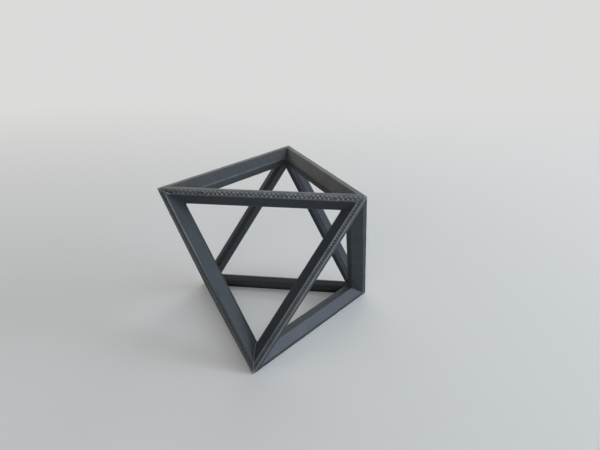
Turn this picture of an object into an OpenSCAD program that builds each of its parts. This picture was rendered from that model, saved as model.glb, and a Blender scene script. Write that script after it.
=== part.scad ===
// Open octahedron ornament: twelve straight bars, mitred where four of them meet at each corner.
// It rests on one triangular face, with a corner of that triangle towards the front (-Y).

/* [Frame] */
// Length of each edge, from corner to corner
edge = 80; // [50:1:160]
// How much each corner's point is blunted, measured along the line from the centre
tip_cut = 0.3; // [0.1:0.1:1.5]

/* [Bar section] */
// Width of the small flat along each outer edge
ridge_w = 0.5; // [0.2:0.1:1.5]
// Width across both outer strips, which lie in the planes of the two faces that share the edge
shoulder_w = 3.6; // [3:0.1:6]
// Width where the bar is widest
bar_w = 4.9; // [4:0.1:8]
// Depth of the bar, from the octahedron's edge to the flat on its inner side
bar_depth = 8.1; // [6:0.1:12]
// Height of the sloping sides next to the inner flat
chamfer_h = 2.1; // [0.6:0.1:3]
// Width of the inner flat
inner_w = 2.2; // [1:0.1:3.5]

/* [Hidden] */
// Angle between a horizontal plane and each edge that climbs from the base to the top
rise = atan(sqrt(2));
// Fall of an outer strip for each unit of width away from the edge
strip_fall = tan(90 - rise);
// Distance between the base triangle and the top triangle
height = edge * sqrt(2 / 3);
// Distance from the centre to a corner, before it is blunted
corner_r = edge / sqrt(2);
// Distance from the centre to the middle of an edge
middle_r = edge / 2;
// Colour of the plastic
print_grey = [0.25, 0.26, 0.28];

// One half of the bar's outline, as [distance out from the edge, distance to the side]
half_outline = [
    [-ridge_w / 2 * strip_fall, ridge_w / 2],
    [-shoulder_w / 2 * strip_fall, shoulder_w / 2],
    [chamfer_h - bar_depth, bar_w / 2],
    [-bar_depth, inner_w / 2]
];

// The other half, in reverse order, so that the two halves make one closed outline
mirrored_half = [for (i = [len(half_outline) - 1 : -1 : 0]) [half_outline[i][0], -half_outline[i][1]]];

// Outline of the bar, with the octahedron's edge at the origin and outwards along +X
module bar_outline() {
    polygon(concat(half_outline, mirrored_half));
}

// The quarter of the space round a corner's axis that belongs to one of its four bars.
// It ends short of the corner, which blunts the point.
module corner_quarter() {
    rotate([0, 0, 45]) rotate([135, 0, 0]) cube([corner_r - tip_cut, edge, edge]);
}

// One bar along Y, with the middle of its edge on +X and the octahedron's centre at the origin
module bar() {
    intersection() {
        translate([middle_r, 0, 0])
            rotate([-90, 0, 0])
                linear_extrude(height = edge, center = true) bar_outline();
        corner_quarter();
        mirror([0, 1, 0]) corner_quarter();
    }
}

// A bar whose middle lies at an azimuth and elevation from the centre, turned about that line
module placed_bar(azimuth, elevation = 0, turn = 0) {
    color(print_grey)
        translate([0, 0, height / 2])
            rotate([0, -elevation, azimuth])
                rotate([turn, 0, 0]) bar();
}

// The top triangle
module top_front_bar() {
    placed_bar(270, elevation = rise);
}

module top_left_bar() {
    placed_bar(150, elevation = rise);
}

module top_right_bar() {
    placed_bar(30, elevation = rise);
}

// The base triangle, whose lower strips lie flat on the table
module base_left_bar() {
    placed_bar(210, elevation = -rise);
}

module base_right_bar() {
    placed_bar(330, elevation = -rise);
}

module base_back_bar() {
    placed_bar(90, elevation = -rise);
}

// The zigzag of bars between the two triangles
module side_front_left_bar() {
    placed_bar(240, turn = -rise);
}

module side_front_right_bar() {
    placed_bar(300, turn = rise);
}

module side_right_bar() {
    placed_bar(0, turn = -rise);
}

module side_back_right_bar() {
    placed_bar(60, turn = rise);
}

module side_back_left_bar() {
    placed_bar(120, turn = -rise);
}

module side_left_bar() {
    placed_bar(180, turn = rise);
}

top_front_bar();
top_left_bar();
top_right_bar();
base_left_bar();
base_right_bar();
base_back_bar();
side_front_left_bar();
side_front_right_bar();
side_right_bar();
side_back_right_bar();
side_back_left_bar();
side_left_bar();
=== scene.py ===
"""An open octahedral ornament, printed in dark grey plastic, at rest on one triangular face.

Twelve straight bars, mitred where four of them meet at each corner, replace the plain bars of
the frame. Each bar has rounded edges, small fillets in the windows' corners and a satin plastic
with fine layer lines. The strips of the face where the print ended carry its woven last layer.
"""

import logging
import math
from dataclasses import dataclass
from enum import Enum
from typing import Any, Union

import bpy
import numpy as np
from mathutils import Matrix, Vector


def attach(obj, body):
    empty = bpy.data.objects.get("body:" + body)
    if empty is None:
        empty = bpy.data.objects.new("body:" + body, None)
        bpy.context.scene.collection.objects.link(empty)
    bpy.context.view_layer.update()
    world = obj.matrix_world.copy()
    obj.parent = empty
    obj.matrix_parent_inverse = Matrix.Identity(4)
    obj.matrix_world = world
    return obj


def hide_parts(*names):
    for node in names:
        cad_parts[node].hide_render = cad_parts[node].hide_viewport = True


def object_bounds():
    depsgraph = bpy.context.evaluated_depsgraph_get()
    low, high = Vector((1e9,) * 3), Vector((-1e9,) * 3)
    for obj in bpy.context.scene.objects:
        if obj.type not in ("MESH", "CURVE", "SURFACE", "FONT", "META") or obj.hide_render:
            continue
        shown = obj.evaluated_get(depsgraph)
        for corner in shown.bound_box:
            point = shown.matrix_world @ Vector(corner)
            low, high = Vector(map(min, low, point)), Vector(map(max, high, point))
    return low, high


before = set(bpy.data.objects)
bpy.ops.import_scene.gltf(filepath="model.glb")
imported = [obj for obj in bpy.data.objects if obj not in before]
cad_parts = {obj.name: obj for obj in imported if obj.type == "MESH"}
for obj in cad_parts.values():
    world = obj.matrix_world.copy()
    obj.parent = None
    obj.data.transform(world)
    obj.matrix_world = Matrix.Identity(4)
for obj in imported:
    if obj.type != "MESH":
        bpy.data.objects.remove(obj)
CAD_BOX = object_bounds()

MM = 0.001
# Angle between the base and each edge that climbs from it
RISE = math.atan(math.sqrt(2))
# Angle between an outer strip and its bar's sideways axis
STRIP_TILT = math.pi / 2 - RISE
# Fall of an outer strip for each unit to the side of its bar's edge
STRIP_FALL = math.tan(STRIP_TILT)
# How much shorter a mitred bar gets at each end for each unit to the side
MITRE_FALL = math.sqrt(2)
# Distance between the base and the top triangle, for an edge of 1
HEIGHT_SHARE = math.sqrt(2 / 3)

log = logging.getLogger("ornament")


class Skin(Enum):
    """What the printer leaves on an outer strip."""

    WALL = "layers seen from the side"
    TOP = "last layer, a woven toolpath"
    BED = "first layer, pressed flat"


class Wire:
    """An output socket that can be used in arithmetic; each operator adds a Math node."""

    def __init__(self, bench: "Bench", socket: bpy.types.NodeSocket) -> None:
        """Keeps the socket and the bench that it belongs to.

        Args:
            bench: The bench whose tree holds the socket.
            socket: The output socket.
        """
        self.bench = bench
        self.socket = socket

    def _math(self, operation: str, first: "Value", second: "Value") -> "Wire":
        """Adds one Math node.

        Args:
            operation: The node's operation.
            first: Its first value.
            second: Its second value.

        Returns:
            The node's result.
        """
        node = self.bench.node("ShaderNodeMath", {"operation": operation}, {0: first, 1: second})
        return self.bench.out(node, "Value")

    def __add__(self, other: "Value") -> "Wire":
        """Self plus other."""
        return self._math("ADD", self, other)

    def __radd__(self, other: "Value") -> "Wire":
        """Other plus self."""
        return self._math("ADD", other, self)

    def __sub__(self, other: "Value") -> "Wire":
        """Self minus other."""
        return self._math("SUBTRACT", self, other)

    def __rsub__(self, other: "Value") -> "Wire":
        """Other minus self."""
        return self._math("SUBTRACT", other, self)

    def __mul__(self, other: "Value") -> "Wire":
        """Self times other."""
        return self._math("MULTIPLY", self, other)

    def __rmul__(self, other: "Value") -> "Wire":
        """Other times self."""
        return self._math("MULTIPLY", other, self)

    def sine(self) -> "Wire":
        """The sine of self, in radians."""
        return self._math("SINE", self, 0.0)

    def clamped(self) -> "Wire":
        """Self, held between 0 and 1."""
        return self._math("MINIMUM", self._math("MAXIMUM", self, 0.0), 1.0)


Value = Union[Wire, float, int, tuple]


class Bench:
    """A material's node tree, with one way to add any node."""

    def __init__(self, tree: bpy.types.NodeTree) -> None:
        """Empties the tree.

        Args:
            tree: The node tree to work on.
        """
        self.tree = tree
        tree.nodes.clear()

    def node(self, kind: str, settings: dict[str, Any], inputs: dict[Any, Value]) -> bpy.types.Node:
        """Adds a node.

        Args:
            kind: The node's type.
            settings: Properties that are set first.
            inputs: Socket names or numbers, each with a value or a wire.

        Returns:
            The node.
        """
        made = self.tree.nodes.new(kind)
        for name, setting in settings.items():
            setattr(made, name, setting)
        for name, value in inputs.items():
            if isinstance(value, Wire):
                self.tree.links.new(value.socket, made.inputs[name])
            else:
                made.inputs[name].default_value = value
        return made

    def out(self, node: bpy.types.Node, name: Union[str, int]) -> Wire:
        """One of a node's outputs as a wire."""
        return Wire(self, node.outputs[name])

    def attribute(self, name: str) -> Wire:
        """A value that the mesh holds for each point."""
        return self.out(self.node("ShaderNodeAttribute", {"attribute_name": name}, {}), "Fac")

    def camera_ray(self) -> Wire:
        """1 for what the camera sees directly, and 0 for bounced light."""
        return self.out(self.node("ShaderNodeLightPath", {}, {}), "Is Camera Ray")

    def vector_math(self, operation: str, inputs: dict[Any, Value], name: str) -> Wire:
        """Adds a Vector Math node.

        Args:
            operation: The node's operation.
            inputs: Its values.
            name: The output that is wanted.

        Returns:
            The node's result.
        """
        return self.out(self.node("ShaderNodeVectorMath", {"operation": operation}, inputs), name)

    def noise(self, place: Wire, scale: float, detail: float = 2.0) -> Wire:
        """Smooth noise from 0 to 1.

        Args:
            place: Where each point lies.
            scale: Repeats per metre.
            detail: Number of finer octaves.

        Returns:
            The noise.
        """
        node = self.node(
            "ShaderNodeTexNoise", {}, {"Vector": place, "Scale": scale, "Detail": detail}
        )
        return self.out(node, "Fac")

    def mix(self, share: Value, first: Value, second: Value) -> Wire:
        """Mixes two colours.

        Args:
            share: Share of the second colour.
            first: The first colour.
            second: The second colour.

        Returns:
            The mixed colour.
        """
        node = self.node("ShaderNodeMix", {"data_type": "RGBA"}, {0: share, 6: first, 7: second})
        return self.out(node, 2)

    def mix_shaders(self, share: Value, first: Wire, second: Wire) -> Wire:
        """Mixes two shaders.

        Args:
            share: Share of the second shader.
            first: The first shader.
            second: The second shader.

        Returns:
            The mixed shader.
        """
        return self.out(
            self.node("ShaderNodeMixShader", {}, {0: share, 1: first, 2: second}), "Shader"
        )


@dataclass(frozen=True)
class Noises:
    """The plastic's uneven patterns, each from 0 to 1."""

    mottle: Wire
    grain: Wire
    streaks: Wire
    clouds: Wire


@dataclass(frozen=True)
class PrintedPlastic:
    """Satin dark grey filament, laid in fine layers that are square to the print direction.

    Each scale is in repeats per metre, and each share says how much a pattern counts.
    """

    name: str = "printed_grey_plastic"
    colour: tuple = (0.059, 0.067, 0.077, 1.0)
    mottled: tuple = (0.0385, 0.0455, 0.0545, 1.0)
    # The next three colours paint light: shade in the pits, highlights on the crests, and
    # highlights along the edges
    pit: tuple = (0.003, 0.004, 0.006, 1.0)
    crest: tuple = (0.33, 0.36, 0.37, 1.0)
    edge_highlight: tuple = (0.31, 0.345, 0.37, 1.0)
    mottle_scale: float = 90.0
    mottle_detail: float = 3.0
    grain_scale: float = 2600.0
    grain_detail: float = 1.0
    streak_scale: float = 900.0
    cloud_scale: float = 620.0
    mottle_share: float = 0.9
    grain_share: float = 0.8
    streak_share: float = 1.1
    cloud_share: float = 1.2
    unmottled_share: float = 1.5
    # How strongly the painted edge highlight shows, evenly and with the grain
    even_highlight: float = 0.6
    grain_highlight: float = 0.6
    roughness: float = 0.46
    mottle_roughness: float = 0.16
    grain_roughness: float = 0.2
    streak_roughness: float = 0.12
    pressed_gloss: float = 0.14
    specular: float = 0.5
    layer: float = 0.2 * MM
    layer_waver: float = 2.0
    layer_bump: float = 0.35
    grain_bump: float = 0.9
    pressed_smoothing: float = 0.8
    bump_strength: float = 0.35
    bump_height: float = 0.03 * MM

    def material(self, print_up: Vector) -> bpy.types.Material:
        """Makes the material.

        Args:
            print_up: The direction in which the layers were stacked.

        Returns:
            The material.
        """
        made = bpy.data.materials.new(self.name)
        made.use_nodes = True
        bench = Bench(made.node_tree)
        up = tuple(print_up)
        place = bench.out(bench.node("ShaderNodeTexCoord", {}, {}), "Object")
        level = bench.vector_math("DOT_PRODUCT", {0: place, 1: up}, "Value")
        stacked = bench.vector_math("SCALE", {0: up, "Scale": level}, "Vector")
        noises = Noises(
            mottle=bench.noise(place, self.mottle_scale, self.mottle_detail),
            grain=bench.noise(place, self.grain_scale, self.grain_detail),
            streaks=bench.noise(stacked, self.streak_scale),
            clouds=bench.noise(place, self.cloud_scale),
        )
        pressed = bench.attribute("pressed")
        shader = bench.node(
            "ShaderNodeBsdfPrincipled",
            {},
            {
                "Base Color": self._colour(bench, noises),
                "Roughness": self._roughness(noises, pressed),
                "Specular IOR Level": self.specular,
                "Normal": self._normal(bench, level, noises, pressed),
            },
        )
        bench.node("ShaderNodeOutputMaterial", {}, {"Surface": bench.out(shader, "BSDF")})
        return made

    def _colour(self, bench: Bench, noises: Noises) -> Wire:
        """The blotched plastic, with painted shade in the pits and painted highlights on the crests
        and along the edges.

        Args:
            bench: The material's bench.
            noises: The uneven patterns.

        Returns:
            The colour.
        """
        blotches = (
            noises.mottle * self.mottle_share
            + noises.grain * self.grain_share
            + noises.streaks * self.streak_share
            + noises.clouds * self.cloud_share
            - self.unmottled_share
        )
        plain = bench.mix(blotches.clamped(), self.colour, self.mottled)
        # Relief is 0.5 where a strip is plain: less of it paints shade, and more of it paints a
        # highlight
        relief = bench.attribute("relief")
        pit_shaded = bench.mix((1.0 - relief * 2.0).clamped(), plain, self.pit)
        shade = bench.mix((relief * 2.0 - 1.0).clamped(), pit_shaded, self.crest)
        # The edge attribute paints highlights along the ridges, creases, seams and tips
        highlight_share = bench.attribute("edge") * (self.even_highlight + noises.grain * self.grain_highlight)
        return bench.mix(highlight_share.clamped(), shade, self.edge_highlight)

    def _roughness(self, noises: Noises, pressed: Wire) -> Wire:
        """The plastic's roughness.

        Args:
            noises: The uneven patterns.
            pressed: 1 where the first layer was pressed flat.

        Returns:
            The roughness.
        """
        uneven = (
            (noises.mottle - 0.5) * self.mottle_roughness
            + (noises.grain - 0.5) * self.grain_roughness
            + (noises.streaks - 0.5) * self.streak_roughness
        )
        return self.roughness + uneven - pressed * self.pressed_gloss

    def _normal(self, bench: Bench, level: Wire, noises: Noises, pressed: Wire) -> Wire:
        """The layer lines and the grain, as a bump.

        Args:
            bench: The material's bench.
            level: Height along the print direction.
            noises: The uneven patterns.
            pressed: 1 where the first layer was pressed flat.

        Returns:
            The normal.
        """
        turns = level * (2 * math.pi / self.layer) + noises.mottle * self.layer_waver
        height = turns.sine() * self.layer_bump + noises.grain * self.grain_bump
        bump = bench.node(
            "ShaderNodeBump",
            {},
            {
                "Strength": self.bump_strength,
                "Distance": self.bump_height,
                "Height": height * (1.0 - pressed * self.pressed_smoothing),
            },
        )
        return bench.out(bump, "Normal")


@dataclass(frozen=True)
class Section:
    """The bar's cross-section, with its outer edge at 0: u runs outwards and v to the side."""

    shoulder_half: float = 1.8 * MM
    widest_half: float = 2.45 * MM
    inner_half: float = 1.1 * MM
    depth: float = 8.1 * MM
    chamfer: float = 2.1 * MM
    ridge_round: float = 0.45 * MM
    shoulder_round: float = 0.3 * MM
    wall_round: float = 0.35 * MM
    inner_round: float = 0.25 * MM
    arc_steps: int = 4
    fine: float = 0.14 * MM
    coarse: float = 0.55 * MM

    def strip_width(self) -> float:
        """Width of one outer strip, measured along its slope."""
        return self.shoulder_half / math.cos(STRIP_TILT)

    def shoulder_level(self) -> float:
        """Where each outer strip ends, measured outwards."""
        return -self.shoulder_half * STRIP_FALL

    def widest_level(self) -> float:
        """Where the bar is widest, measured outwards."""
        return self.chamfer - self.depth

    def corners(self) -> list[tuple[float, float, float]]:
        """The closed outline's corners.

        Returns:
            u, v and rounding radius of each corner, from the ridge round.
        """
        side = [
            (self.shoulder_level(), self.shoulder_half, self.shoulder_round),
            (self.widest_level(), self.widest_half, self.wall_round),
            (-self.depth, self.inner_half, self.inner_round),
        ]
        other = [(u, -v, r) for u, v, r in reversed(side)]
        return [(0.0, 0.0, self.ridge_round), *side, (-self.depth, 0.0, 0.0), *other]

    def outline(self, strip_step: float) -> np.ndarray:
        """The rounded outline as points.

        Args:
            strip_step: Greatest spacing of the points on the two outer strips.

        Returns:
            An array of (u, v) rows, the first at the middle of the ridge.
        """
        corners = self.corners()
        count = len(corners)
        arcs = [
            self._arc(corners[i - 1], corners[i], corners[(i + 1) % count]) for i in range(count)
        ]
        half = len(arcs[0]) // 2
        points = list(arcs[0][half:])
        for i in range(1, count + 1):
            arc = arcs[i % count]
            step = strip_step if i in (1, count) else self.coarse
            points += self._between(points[-1], arc[0], step)
            points += list(arc if i < count else arc[:half])
        return np.array(points)

    def _arc(self, before: tuple, corner: tuple, after: tuple) -> list[np.ndarray]:
        """Points of the arc that rounds one corner.

        Args:
            before: The corner before it.
            corner: The corner, with its radius.
            after: The corner after it.

        Returns:
            An odd number of points, or the corner alone where it isn't rounded.
        """
        here = np.array(corner[:2])
        back = np.array(before[:2]) - here
        on = np.array(after[:2]) - here
        back /= np.linalg.norm(back)
        on /= np.linalg.norm(on)
        radius = corner[2]
        if radius == 0:
            return [here]
        half_angle = math.acos(float(np.clip(back @ on, -1, 1))) / 2
        middle = (back + on) / np.linalg.norm(back + on)
        centre = here + middle * radius / math.sin(half_angle)
        start = here + back * radius / math.tan(half_angle) - centre
        end = here + on * radius / math.tan(half_angle) - centre
        steps = self.arc_steps
        points = []
        for i in range(steps + 1):
            spoke = start * (steps - i) + end * i
            points.append(centre + spoke / np.linalg.norm(spoke) * radius)
        return points

    @staticmethod
    def _between(start: np.ndarray, end: np.ndarray, step: float) -> list[np.ndarray]:
        """Points between two ends, no further apart than a step, without the ends."""
        count = max(1, math.ceil(float(np.linalg.norm(end - start)) / step))
        return [start + (end - start) * i / count for i in range(1, count)]


def ease(share: np.ndarray) -> np.ndarray:
    """A smooth step from 0 to 1 as the share goes from 0 to 1."""
    held = np.clip(share, 0, 1)
    return held * held * (3 - 2 * held)


def glow(distance: np.ndarray, reach: float) -> np.ndarray:
    """A soft line: 1 at no distance, and next to nothing beyond twice its reach."""
    return np.exp(-((distance / reach) ** 2))


def swing(turns: np.ndarray) -> np.ndarray:
    """A wave that is 1 at whole turns and 0 half way between them."""
    return 0.5 + 0.5 * np.cos(2 * np.pi * turns)


@dataclass(frozen=True)
class Ripple:
    """Smooth random waves along a line, from -1 to 1, the same on every run."""

    length: float
    seed: int
    knots: int = 512

    def at(self, place: np.ndarray) -> np.ndarray:
        """The wave at some places.

        Args:
            place: Places along the line.

        Returns:
            The wave's value at each place.
        """
        levels = np.random.default_rng(self.seed).uniform(-1, 1, self.knots)
        spot = place / self.length + self.knots / 2
        low = np.clip(np.floor(spot).astype(int), 0, self.knots - 2)
        share = ease(spot - low)
        return levels[low] * (1 - share) + levels[low + 1] * share


@dataclass(frozen=True)
class Places:
    """Where the points of a bar lie, in arrays with a row for each ring.

    shares and along are places along the bar, from -1 to 1 and as a length. u, v and across are
    places in the section, outwards, to the side and across a strip. gap is the distance from the
    mitre, clear goes from 0 at the mitre to 1, and on_strip is 1 on the outer strips.
    """

    shares: np.ndarray
    along: np.ndarray
    u: np.ndarray
    v: np.ndarray
    across: np.ndarray
    gap: np.ndarray
    clear: np.ndarray
    on_strip: np.ndarray


@dataclass(frozen=True)
class BeadHighlight:
    """A painted highlight line along a strip, where a bead of plastic would catch the light.

    Its strength goes from first to last along the bar. beading is how far it fades in every
    pitch, and steady and unsteady set its random fading.
    """

    across: float
    first: float
    last: float
    half_width: float = 0.2 * MM
    pitch: float = 0.88 * MM
    beading: float = 0.5
    seed: int = 1
    change: float = 0.8
    steady: float = 0.85
    unsteady: float = 0.35
    unsteady_length: float = 2.3 * MM

    def shine(self, places: Places) -> np.ndarray:
        """How strong the bead's painted highlight is.

        Args:
            places: The bar's points.

        Returns:
            The strength, first at the bar's -1 end and last at its other end.
        """
        late = ease(0.5 + places.shares * self.change)
        strength = self.first + (self.last - self.first) * late
        bead_highlights = 1 - self.beading * swing(places.along / self.pitch)
        waver = Ripple(self.unsteady_length, self.seed).at(places.along)
        fading = self.steady + self.unsteady * waver
        return strength * glow(places.across - self.across, self.half_width) * bead_highlights * fading


@dataclass(frozen=True)
class Weave:
    """The last layer's zigzag strokes, which leave rows of small pits along a strip.

    The relief goes from 0 in a pit to 1 on a crest, and height is its depth on the surface. Each
    row has its place across the strip and its lag, in turns.
    """

    pitch: float = 1.69 * MM
    rows: tuple = ((0.52 * MM, 0.0), (1.32 * MM, 0.47))
    spread: float = 0.25 * MM
    slant: float = -0.22
    height: float = 0.12 * MM
    rest_relief: float = 0.75
    contrast: float = 0.62
    pit_sharpness: float = 1.5
    ground: float = 0.43
    shelf: float = 0.0
    tilt: float = 0.0
    vigour: float = 0.85
    swell: float = 0.25
    gust: float = 0.45
    gust_length: float = 3.9 * MM
    ragged: float = 0.2
    ragged_length: float = 5.3 * MM
    speck: float = 0.85
    speck_lengths: tuple = (0.6 * MM, 0.5 * MM)
    speck_slants: tuple = (3.3, -2.9)
    end_specks: float = 1.5
    end_reach: float = 2.5 * MM
    ridge_band: float = 0.2 * MM
    rim_band: float = 0.3 * MM
    # The ridge's shine and the bead lines are painted highlights
    ridge_shine: float = 0.4
    bead_highlights: tuple = (
        BeadHighlight(0.08 * MM, 0.75, 0.9, half_width=0.42 * MM, beading=0.15),
        BeadHighlight(1.9 * MM, 0.2, 0.3),
    )
    seed: int = 1

    def relief(self, places: Places, width: float) -> np.ndarray:
        """Height of the strokes, from 0 in the pits to 1 on the crests.

        Args:
            places: The bar's points.
            width: The strip's width.

        Returns:
            The relief at each place, 0.5 where the strip is plain.
        """
        along, across = places.along, places.across
        drift = Ripple(self.ragged_length, self.seed).at(along) * self.ragged
        gusts = Ripple(self.gust_length, self.seed + 1).at(along)
        vigour = self.vigour + self.gust * gusts + self.swell * places.shares
        off_middle = (across - width / 2) / (width / 2)
        # Below 0.5 the relief paints shade and above it a highlight, so ground, shelf and tilt also
        # set how dark or pale the strip is painted, across it and along it
        woven = self.ground + self.shelf * off_middle**2 + self.tilt * places.shares
        woven = woven + self._specks(places)
        for place, lag in self.rows:
            share = np.exp(-(((across - place) / self.spread) ** 2) / 2)
            turns = (along + self.slant * (across - place)) / self.pitch
            wave = 1 - swing(turns - lag + drift)
            woven = woven + self.contrast * vigour * share * (1 - 2 * wave**self.pit_sharpness)
        inside = ease(across / self.ridge_band) * ease((width - across) / self.rim_band)
        return np.clip(0.5 + (woven - 0.5) * inside, 0, 1)

    def _specks(self, places: Places) -> np.ndarray:
        """Stray specks, stronger near the mitres, where the strokes are loose: small bumps that the
        colour turns into painted glints and spots of painted shade.

        Args:
            places: The bar's points.

        Returns:
            What they add to the relief.
        """
        specks = self.speck * (1 + self.end_specks * np.exp(-places.gap / self.end_reach))
        for i, (length, slant) in enumerate(zip(self.speck_lengths, self.speck_slants)):
            specks = specks * Ripple(length, self.seed + 3 + i).at(
                places.along + slant * places.across
            )
        return specks


@dataclass(frozen=True)
class Blob:
    """A small bead of plastic that the nozzle left on a bar."""

    along: float
    u: float
    v: float
    height: float
    spread: float

    def rise(self, places: Places) -> np.ndarray:
        """How far the blob stands out.

        Args:
            places: The bar's points.

        Returns:
            Its height at each point.
        """
        away = (
            (places.along - self.along) ** 2
            + (places.u - self.u) ** 2
            + (places.v - self.v) ** 2
        )
        return self.height * np.exp(-away / (2 * self.spread**2))


@dataclass
class Bar:
    """One mitred bar of the frame, with its azimuth in degrees and its other angles in radians."""

    node: str
    azimuth: float
    elevation: float = 0.0
    turn: float = 0.0
    weave: Weave = Weave()
    blobs: tuple = ()
    # Strengths of the painted highlights along the widest corners and on the wall at one window
    # corner
    crease_shine: float = 0.1
    corner_shine: float = 0.0

    def placing(self, centre: Vector) -> Matrix:
        """Takes the bar's own axes (out, along, side) to the object's.

        Args:
            centre: The octahedron's centre.

        Returns:
            The matrix.
        """
        spin = Matrix.Rotation(math.radians(self.azimuth), 4, "Z")
        tilt = Matrix.Rotation(-self.elevation, 4, "Y")
        roll = Matrix.Rotation(self.turn, 4, "X")
        return Matrix.Translation(centre) @ spin @ tilt @ roll


@dataclass
class Finish:
    """What lies on a bar's surface, in arrays with a row for each ring."""

    relief: np.ndarray
    painted_highlight: np.ndarray
    pressed: np.ndarray
    rise: np.ndarray

    def looks(self) -> dict[str, np.ndarray]:
        """The values that the material reads, by the names of their attributes."""
        # edge holds the painted highlights
        return {"relief": self.relief, "edge": np.clip(self.painted_highlight, 0, 1), "pressed": self.pressed}


@dataclass
class BarMaker:
    """Builds the bars' meshes from one section and one edge length."""

    edge: float
    centre: Vector
    print_up: Vector
    section: Section
    material: bpy.types.Material
    fillet: float = 0.2 * MM
    window_angle: float = math.radians(60)
    tip_start: float = 0.35 * MM
    tip_give: float = 0.1 * MM
    ring: float = 0.2 * MM
    plain_ring: float = 0.4 * MM
    end_rings: tuple = (0.05, 0.12, 0.22, 0.34, 0.48, 0.65, 0.82, 1.0)
    end_span: float = 1.2 * MM
    strip_slack: float = 0.001 * MM
    least_facing: float = 0.99
    clear_start: float = 0.3 * MM
    clear_band: float = 0.8 * MM
    banding: float = 0.018 * MM
    bands: tuple = (Ripple(0.9 * MM, 11), Ripple(3.7 * MM, 12))
    # Painted highlights along the ridges, the widest corners, the mitre seams and the window
    # corners, and painted glints at the tips
    highlight_ripple: Ripple = Ripple(2.9 * MM, 21)
    highlight_steady: float = 0.75
    highlight_unsteady: float = 0.35
    plain_shine: float = 0.12
    ridge_highlight_reach: float = 0.2 * MM
    crease_highlight_reach: float = 0.28 * MM
    seam_shine: float = 0.6
    seam_highlight_reach: float = 0.16 * MM
    corner_highlight_reach: float = 0.3 * MM
    tip_glint: float = 0.9
    tip_reach: float = 0.95 * MM
    strand: float = 0.44 * MM
    strand_shade: float = 0.16

    def build(self, bar: Bar) -> bpy.types.Object:
        """Builds one bar and puts it in its node's place.

        Args:
            bar: The bar.

        Returns:
            The finished piece.
        """
        placing = bar.placing(self.centre)
        skins = {side: self._skin(placing, side) for side in (1, -1)}
        woven = Skin.TOP in skins.values()
        outline = self.section.outline(self.section.fine if woven else self.section.coarse)
        places = self._places(outline, self.ring if woven else self.plain_ring)
        finish = self._finish(bar, places, skins)
        local = self._surface(outline, places, finish.rise)
        rings, around = local.shape[:2]
        mesh = bpy.data.meshes.new("printed_" + bar.node)
        turn = np.array(placing)
        world = local.reshape(-1, 3) @ turn[:3, :3].T + turn[:3, 3]
        mesh.from_pydata(world.tolist(), [], self._faces(rings, around))
        mesh.shade_smooth()
        self._sharpen_ends(mesh, rings, around)
        for name, values in finish.looks().items():
            layer = mesh.attributes.new(name, "FLOAT", "POINT")
            layer.data.foreach_set("value", values.reshape(-1).astype(np.float32))
        mesh.materials.append(self.material)
        mesh.update()
        piece = bpy.data.objects.new("printed_" + bar.node, mesh)
        bpy.context.scene.collection.objects.link(piece)
        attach(piece, "root")
        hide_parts(bar.node)
        return piece

    def _skin(self, placing: Matrix, side: int) -> Skin:
        """What the printer left on the strip at one side.

        Args:
            placing: The bar's place.
            side: 1 or -1.

        Returns:
            The strip's skin.
        """
        normal = Vector((math.cos(STRIP_TILT), 0, side * math.sin(STRIP_TILT)))
        facing = (placing.to_3x3() @ normal).dot(self.print_up)
        if facing > self.least_facing:
            return Skin.TOP
        if facing < -self.least_facing:
            return Skin.BED
        return Skin.WALL

    def _reach(self, u: np.ndarray, v: np.ndarray) -> np.ndarray:
        """Half the bar's length at a place in its section, up to the mitre planes."""
        return self.edge / 2 + u - MITRE_FALL * np.abs(v)

    def _places(self, outline: np.ndarray, spacing: float) -> Places:
        """Lays the bar's points out, before any of them moves.

        Args:
            outline: The bar's rounded section.
            spacing: Distance between rings.

        Returns:
            The places.
        """
        u, v = outline[:, 0][None, :], outline[:, 1][None, :]
        shares = self._ring_shares(spacing)[:, None]
        gap = (1 - np.abs(shares)) * self._reach(u, v)
        return Places(
            shares=shares,
            along=shares * self._reach(u, v),
            u=u,
            v=v,
            across=np.abs(v) / math.cos(STRIP_TILT),
            gap=gap,
            clear=ease((gap - self.clear_start) / self.clear_band),
            on_strip=(u > self.section.shoulder_level() - self.strip_slack).astype(float),
        )

    def _ring_shares(self, spacing: float) -> np.ndarray:
        """Where the rings lie, closer together near the ends.

        Args:
            spacing: Distance between rings in the middle.

        Returns:
            Places along the bar, from -1 at one mitre to 1 at the other.
        """
        half = self.edge / 2
        close = np.array(self.end_rings) * MM
        middle = np.linspace(0, half - self.end_span, math.ceil(half / spacing))
        side = np.concatenate([middle / half, np.sort(1 - close / half), [1.0]])
        return np.concatenate([-side[:0:-1], side])

    def _finish(self, bar: Bar, places: Places, skins: dict[int, Skin]) -> Finish:
        """What lies on the bar's surface.

        Args:
            bar: The bar.
            places: Its points.
            skins: The skin of each side's strip.

        Returns:
            The finish.
        """
        shape = places.along.shape
        finish = Finish(
            relief=np.full(shape, 0.5),
            painted_highlight=self._painted_highlights(bar, places, Skin.TOP in skins.values()),
            pressed=np.zeros(shape),
            rise=self._band_rise(bar, places),
        )
        for side, skin in skins.items():
            if skin is Skin.TOP:
                self._weave_strip(bar, places, side, finish)
            elif skin is Skin.BED:
                self._press_strip(places, side, finish)
        for blob in bar.blobs:
            finish.rise = finish.rise + blob.rise(places)
        return finish

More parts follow.
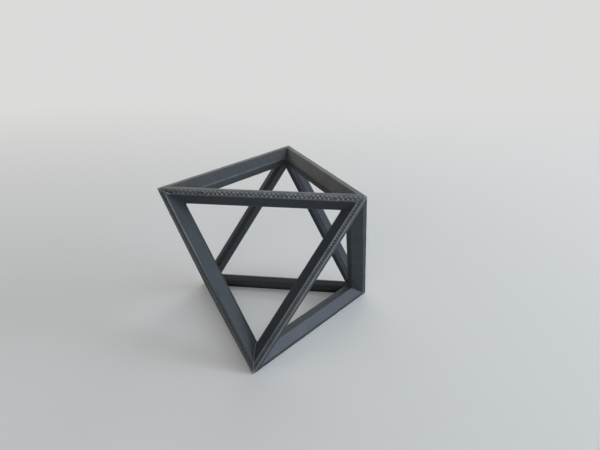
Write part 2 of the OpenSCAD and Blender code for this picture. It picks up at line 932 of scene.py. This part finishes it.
    def _weave_strip(self, bar: Bar, places: Places, side: int, finish: Finish) -> None:
        """Lays the woven last layer on one strip, with painted highlights along its bead lines, at
        its mitre seams and on the wall at the window corner beside it.

        Args:
            bar: The bar.
            places: Its points.
            side: The strip's side, 1 or -1.
            finish: The bar's finish, which this changes.
        """
        this_side = np.sign(places.v) == side
        here = places.on_strip * this_side
        strokes = bar.weave.relief(places, self.section.strip_width())
        faded = 0.5 + (strokes - 0.5) * places.clear
        finish.relief = np.where(here * places.clear > 0, faded, finish.relief)
        lift = (strokes - bar.weave.rest_relief) * bar.weave.height
        finish.rise = finish.rise + here * lift
        # Painted highlights: the bead lines, a line at each mitre seam, and a line on the wall at
        # one window corner
        for bead in bar.weave.bead_highlights:
            finish.painted_highlight = finish.painted_highlight + here * bead.shine(places) * places.clear
        finish.painted_highlight = finish.painted_highlight + here * self.seam_shine * glow(places.gap, self.seam_highlight_reach)
        inside = (1 - places.on_strip) * this_side * (places.shares > 0)
        corner = bar.corner_shine * glow(places.gap, self.corner_highlight_reach)
        finish.painted_highlight = finish.painted_highlight + inside * corner

    def _press_strip(self, places: Places, side: int, finish: Finish) -> None:
        """Presses the first layer's strands flat on one strip.

        Args:
            places: The bar's points.
            side: The strip's side, 1 or -1.
            finish: The bar's finish, which this changes.
        """
        here = places.on_strip * (np.sign(places.v) == side)
        # Painted shade in a line along each strand
        strands = 0.5 - self.strand_shade * swing(places.across / self.strand)
        finish.relief = np.where(here > 0, strands, finish.relief)
        finish.pressed = finish.pressed + here

    def _painted_highlights(self, bar: Bar, places: Places, woven: bool) -> np.ndarray:
        """The painted highlight along the ridge and the widest corners, and a painted glint at the
        tips.

        Args:
            bar: The bar.
            places: Its points.
            woven: Whether one of its strips has the woven last layer.

        Returns:
            The painted highlight, which may pass 1.
        """
        shine = bar.weave.ridge_shine if woven else self.plain_shine
        ridge = glow(places.v, self.ridge_highlight_reach) * (places.u > -self.section.shoulder_half)
        crease = glow(places.u - self.section.widest_level(), self.crease_highlight_reach)
        fading = self.highlight_steady + self.highlight_unsteady * self.highlight_ripple.at(places.along)
        tip = glow(places.gap + np.abs(places.v) + np.abs(places.u), self.tip_reach)
        return fading * (shine * ridge + bar.crease_shine * crease) + self.tip_glint * tip

    def _band_rise(self, bar: Bar, places: Places) -> np.ndarray:
        """Height of the faint bands where some layers were laid wider than others.

        Args:
            bar: The bar.
            places: Its points.

        Returns:
            The height.
        """
        turn = np.array(bar.placing(self.centre))[:3, :3]
        up = turn.T @ np.array(self.print_up)
        level = up[0] * (self.edge / 2 + places.u) + up[1] * places.along + up[2] * places.v
        return self.banding * sum(band.at(level) for band in self.bands)

    def _surface(self, outline: np.ndarray, places: Places, rise: np.ndarray) -> np.ndarray:
        """The bar's points in its own axes, with its fillets, relief and blunt tips.

        Args:
            outline: The bar's rounded section.
            places: Its points, before they move.
            rise: How far each point rises from the plain surface.

        Returns:
            The points, with a row for each ring.
        """
        ahead = np.roll(outline, -1, axis=0) - np.roll(outline, 1, axis=0)
        ahead /= np.linalg.norm(ahead, axis=1)[:, None]
        normal_u, normal_v = ahead[:, 1][None, :], -ahead[:, 0][None, :]
        sides = np.sign(places.v)
        width = self.section.strip_width()
        strip_share = np.where(places.on_strip > 0, (places.across / width) ** 2, 1.0)
        lift = self._fillet_lift(places.gap) * strip_share
        # Where a point faces out of its strip's plane, the fillet spreads in that plane instead
        facing = normal_u * math.cos(STRIP_TILT) + normal_v * sides * math.sin(STRIP_TILT)
        out_u = np.where(facing > 0, -math.sin(STRIP_TILT), normal_u)
        out_v = np.where(facing > 0, sides * math.cos(STRIP_TILT), normal_v)
        new_u = places.u + out_u * lift + normal_u * rise * places.clear
        new_v = places.v + out_v * lift + normal_v * rise * places.clear
        along = places.shares * self._reach(new_u, new_v)
        return self._blunt_tips(np.stack([self.edge / 2 + new_u, along, new_v], -1))

    def _fillet_lift(self, gap: np.ndarray) -> np.ndarray:
        """How far a wall rises into the fillet at a window's corner.

        Args:
            gap: Distance from the mitre, along the bar.

        Returns:
            The rise.
        """
        half_corner = self.window_angle / 2
        reach = self.fillet / math.tan(half_corner)
        short = np.clip(reach - gap, 0, self.fillet * math.cos(half_corner))
        return self.fillet - np.sqrt(self.fillet**2 - short**2)

    def _blunt_tips(self, points: np.ndarray) -> np.ndarray:
        """Rounds the corner points off.

        Args:
            points: The bar's points.

        Returns:
            The points, drawn back near both corners.
        """
        moved = points.copy()
        for end in (1, -1):
            axis = np.array([1, end, 0]) / math.sqrt(2)
            beyond = moved @ axis - (self.edge / math.sqrt(2) - self.tip_start)
            give = self.tip_give * np.tanh(np.clip(beyond, 0, None) / self.tip_give)
            change = np.where(beyond > 0, give - beyond, 0)
            moved = moved + change[..., None] * axis
        return moved

    @staticmethod
    def _faces(rings: int, around: int) -> list[tuple]:
        """Quads along the bar, and two flat caps at each end.

        Args:
            rings: Number of rings.
            around: Points in each ring.

        Returns:
            The faces' vertex numbers.
        """
        faces = []
        for i in range(rings - 1):
            for j in range(around):
                k = (j + 1) % around
                faces.append(
                    (i * around + j, (i + 1) * around + j, (i + 1) * around + k, i * around + k)
                )
        half = around // 2
        last = (rings - 1) * around
        faces.append(tuple(range(0, half + 1)))
        faces.append((*range(half, around), 0))
        faces.append(tuple(last + j for j in range(half, -1, -1)))
        faces.append(tuple(last + j % around for j in range(around, half - 1, -1)))
        return faces

    @staticmethod
    def _sharpen_ends(mesh: bpy.types.Mesh, rings: int, around: int) -> None:
        """Keeps the mitres crisp.

        Args:
            mesh: The bar's mesh.
            rings: Number of rings.
            around: Points in each ring.
        """
        last = (rings - 1) * around
        pairs = np.zeros(len(mesh.edges) * 2, np.int32)
        mesh.edges.foreach_get("vertices", pairs)
        pairs = pairs.reshape(-1, 2)
        ends = ((pairs < around).all(1)) | ((pairs >= last).all(1))
        layer = mesh.attributes.new("sharp_edge", "BOOLEAN", "EDGE")
        layer.data.foreach_set("value", ends)


class BarGroup:
    """Bars that are built together."""

    def bars(self) -> list[Bar]:
        """The group's bars."""
        raise NotImplementedError

    def build(self, maker: BarMaker) -> list[bpy.types.Object]:
        """Builds and dresses the group's bars.

        Args:
            maker: Builds each bar.

        Returns:
            The finished pieces.
        """
        return [maker.build(bar) for bar in self.bars()]


@dataclass
class TopTriangle(BarGroup):
    """The three bars round the upper face."""

    front_weave: Weave = Weave()
    left_crease_shine: float = 0.35

    def bars(self) -> list[Bar]:
        """The triangle's bars.

        Returns:
            Three bars.
        """
        return [
            Bar("top_front_bar", 270, elevation=RISE, weave=self.front_weave),
            Bar("top_left_bar", 150, elevation=RISE, crease_shine=self.left_crease_shine),
            Bar("top_right_bar", 30, elevation=RISE),
        ]


@dataclass
class BaseTriangle(BarGroup):
    """The three bars that lie on the floor."""

    def bars(self) -> list[Bar]:
        """The triangle's bars.

        Returns:
            Three bars.
        """
        return [
            Bar("base_left_bar", 210, elevation=-RISE),
            Bar("base_right_bar", 330, elevation=-RISE),
            Bar("base_back_bar", 90, elevation=-RISE),
        ]


@dataclass
class SideZigzag(BarGroup):
    """The six bars between the base and the top."""

    left_weave: Weave = Weave(
        pitch=1.45 * MM,
        rows=((0.95 * MM, 0.0),),
        contrast=0.13,
        ground=0.13,
        shelf=0.58,
        tilt=-0.06,
        speck=0.3,
        ridge_shine=0.1,
        bead_highlights=(
            BeadHighlight(1.8 * MM, 2.0, -0.35, half_width=0.25 * MM, beading=0.7, seed=7),
            BeadHighlight(0.35 * MM, 0.3, 0.06, beading=0.6, seed=6),
        ),
        seed=5,
    )
    right_weave: Weave = Weave(
        pitch=1.2 * MM,
        rows=((1.38 * MM, 0.0),),
        spread=0.22 * MM,
        contrast=0.6,
        ground=0.13,
        shelf=0.14,
        tilt=0.08,
        speck=0.5,
        ridge_shine=0.85,
        bead_highlights=(
            BeadHighlight(0.06 * MM, 0.55, 1.3, half_width=0.25 * MM, beading=0.25, seed=8),
            BeadHighlight(0.62 * MM, 0.12, 0.22, half_width=0.16 * MM, beading=0.3, seed=10),
            BeadHighlight(1.85 * MM, 0.65, 1.15, half_width=0.17 * MM, pitch=1.2 * MM, seed=11),
        ),
        seed=9,
    )
    left_corner_shine: float = 0.8
    blob: Blob = Blob(along=20.5 * MM, u=-6.1 * MM, v=-2.4 * MM, height=0.4 * MM, spread=0.4 * MM)

    def bars(self) -> list[Bar]:
        """The side bars.

        Returns:
            Six bars, each turned so that it climbs or falls.
        """
        return [
            Bar(
                "side_front_left_bar",
                240,
                turn=-RISE,
                weave=self.left_weave,
                corner_shine=self.left_corner_shine,
            ),
            Bar("side_front_right_bar", 300, turn=RISE, weave=self.right_weave),
            Bar("side_right_bar", 0, turn=-RISE, blobs=(self.blob,)),
            Bar("side_back_right_bar", 60, turn=RISE),
            Bar("side_back_left_bar", 120, turn=-RISE),
            Bar("side_left_bar", 180, turn=RISE),
        ]


@dataclass(frozen=True)
class SoftBox:
    """A square studio lamp that faces the object, with its power in watts."""

    name: str
    azimuth: float
    elevation: float
    power: float
    colour: tuple = (1.0, 1.0, 1.0)
    size: float = 0.5
    distance: float = 0.9

    def build(self, target: Vector) -> bpy.types.Object:
        """Makes the lamp.

        Args:
            target: What it faces.

        Returns:
            The lamp's object.
        """
        lamp = bpy.data.lights.new(self.name, "AREA")
        lamp.size = self.size
        lamp.energy = self.power
        lamp.color = self.colour
        made = bpy.data.objects.new(self.name, lamp)
        bpy.context.scene.collection.objects.link(made)
        a, e = math.radians(self.azimuth), math.radians(self.elevation)
        away = Vector((math.cos(a) * math.cos(e), math.sin(a) * math.cos(e), math.sin(e)))
        made.location = target + away * self.distance
        made.rotation_mode = "QUATERNION"
        made.rotation_quaternion = away.to_track_quat("Z", "Y")
        made.visible_camera = False
        return made


@dataclass(frozen=True)
class PhotoCamera:
    """A camera at the photograph's angle, with places on the picture in pixels."""

    focal_px: float = 575.711
    frame_width_px: float = 600.0
    azimuth: float = 8.1876
    elevation: float = 22.4521
    roll: float = -0.4501
    edges_away: float = 3.1042
    centre_right_px: float = -27.0045
    centre_down_px: float = 21.2324
    sensor_width: float = 36.0
    clip_start: float = 0.01
    clip_end: float = 50.0

    def build(self, target: Vector, edge: float) -> bpy.types.Object:
        """Makes the camera.

        Args:
            target: The octahedron's centre.
            edge: The octahedron's edge.

        Returns:
            The camera's object.
        """
        a, e, roll = (math.radians(angle) for angle in (self.azimuth, self.elevation, self.roll))
        back = Vector((math.sin(a) * math.cos(e), -math.cos(a) * math.cos(e), math.sin(e)))
        level = Vector((math.cos(a), math.sin(a), 0))
        upright = back.cross(level)
        right = level * math.cos(roll) + upright * math.sin(roll)
        up = upright * math.cos(roll) - level * math.sin(roll)
        distance = self.edges_away * edge
        aside = self.centre_right_px / self.focal_px * distance
        below = self.centre_down_px / self.focal_px * distance
        data = bpy.data.cameras.new("camera")
        data.sensor_width = self.sensor_width
        data.lens = self.focal_px / self.frame_width_px * self.sensor_width
        data.clip_start = self.clip_start
        data.clip_end = self.clip_end
        camera = bpy.data.objects.new("camera", data)
        bpy.context.scene.collection.objects.link(camera)
        turn = Matrix((right, up, back)).transposed().to_4x4()
        place = target + back * distance - right * aside + up * below
        camera.matrix_world = Matrix.Translation(place) @ turn
        bpy.context.scene.camera = camera
        return camera


@dataclass
class Studio:
    """The pale floor, the sky, the lamps and the camera."""

    target: Vector
    edge: float
    floor_size: float = 8.0
    floor_colour: tuple = (0.55, 0.54, 0.52, 1.0)
    floor_seen: tuple = (0.95, 0.945, 0.935, 1.0)
    floor_roughness: float = 0.8
    floor_specular: float = 0.2
    floor_fade_start: float = 0.12
    floor_fade_end: float = 0.6
    floor_pale: float = 0.15
    sky_strength: float = 0.08
    backdrop: tuple = (0.71, 0.71, 0.705, 1.0)
    lamps: tuple = (
        SoftBox("key_lamp", 0, 11, 4.0, (0.86, 0.96, 1.14)),
        SoftBox("high_key_lamp", 0, 40, 1.3, (0.84, 1.03, 1.13)),
        SoftBox("ceiling_lamp", 275, 82, 0.55),
        SoftBox("front_lamp", 270, 15, 2.4, (0.98, 1.0, 1.02)),
        SoftBox("back_lamp", 90, 20, 1.05, (0.98, 1.0, 1.01)),
        SoftBox("back_left_lamp", 120, 22, 1.15, (1.04, 1.02, 0.91)),
        SoftBox("back_right_lamp", 60, 40, 0.9, (1.02, 1.01, 0.97)),
    )
    camera: PhotoCamera = PhotoCamera()

    def build(self) -> None:
        """Makes the floor, the world, the lamps and the camera."""
        self._floor()
        self._world()
        for lamp in self.lamps:
            lamp.build(self.target)
        self.camera.build(self.target, self.edge)
        bpy.context.scene.view_settings.view_transform = "Standard"

    def _floor(self) -> None:
        """A plain pale floor that isn't part of the object."""
        half = self.floor_size / 2
        mesh = bpy.data.meshes.new("floor")
        corners = [(-half, -half, 0), (half, -half, 0), (half, half, 0), (-half, half, 0)]
        mesh.from_pydata(corners, [], [(0, 1, 2, 3)])
        mesh.materials.append(self._floor_paint())
        floor = bpy.data.objects.new("floor", mesh)
        bpy.context.scene.collection.objects.link(floor)

    def _floor_paint(self) -> bpy.types.Material:
        """A matt paint that the camera sees paler, and fading into the backdrop far away.

        Returns:
            The material.
        """
        made = bpy.data.materials.new("floor_paint")
        made.use_nodes = True
        bench = Bench(made.node_tree)
        seen = bench.camera_ray()
        paint = bench.node(
            "ShaderNodeBsdfPrincipled",
            {},
            {
                "Base Color": bench.mix(seen, self.floor_colour, self.floor_seen),
                "Roughness": self.floor_roughness,
                "Specular IOR Level": self.floor_specular,
            },
        )
        place = bench.out(bench.node("ShaderNodeNewGeometry", {}, {}), "Position")
        away = bench.vector_math("LENGTH", {0: place}, "Value")
        fade_band = self.floor_fade_end - self.floor_fade_start
        fade = ((away - self.floor_fade_start) * (1 / fade_band)).clamped()
        pale = bench.node("ShaderNodeEmission", {}, {"Color": self.backdrop, "Strength": 1.0})
        both = bench.mix_shaders(
            seen * (self.floor_pale + fade * (1 - self.floor_pale)),
            bench.out(paint, "BSDF"),
            bench.out(pale, "Emission"),
        )
        bench.node("ShaderNodeOutputMaterial", {}, {"Surface": both})
        return made

    def _world(self) -> None:
        """A soft even sky that the camera sees as a pale backdrop."""
        world = bpy.data.worlds.new("studio")
        bpy.context.scene.world = world
        world.use_nodes = True
        bench = Bench(world.node_tree)
        skies = [
            bench.out(
                bench.node("ShaderNodeBackground", {}, {"Color": colour, "Strength": strength}),
                "Background",
            )
            for colour, strength in (((1, 1, 1, 1), self.sky_strength), (self.backdrop, 1.0))
        ]
        both = bench.mix_shaders(bench.camera_ray(), *skies)
        bench.node("ShaderNodeOutputWorld", {}, {"Surface": both})


def print_direction() -> Vector:
    """The direction in which the layers were stacked: out of the front face below the top."""
    climb = math.pi / 2 - 2 * STRIP_TILT
    return Vector((0, -math.cos(climb), math.sin(climb)))


def main() -> None:
    """Builds the bars, then the studio."""
    logging.basicConfig(level=logging.INFO, format="%(name)s: %(message)s")
    height = CAD_BOX[1].z - CAD_BOX[0].z
    edge = height / HEIGHT_SHARE
    centre = Vector((0, 0, CAD_BOX[0].z + height / 2))
    print_up = print_direction()
    maker = BarMaker(edge, centre, print_up, Section(), PrintedPlastic().material(print_up))
    for group in (TopTriangle(), BaseTriangle(), SideZigzag()):
        for piece in group.build(maker):
            log.info("%s: %d faces", piece.name, len(piece.data.polygons))
    Studio(centre, edge).build()


if __name__ == "__main__":
    main()
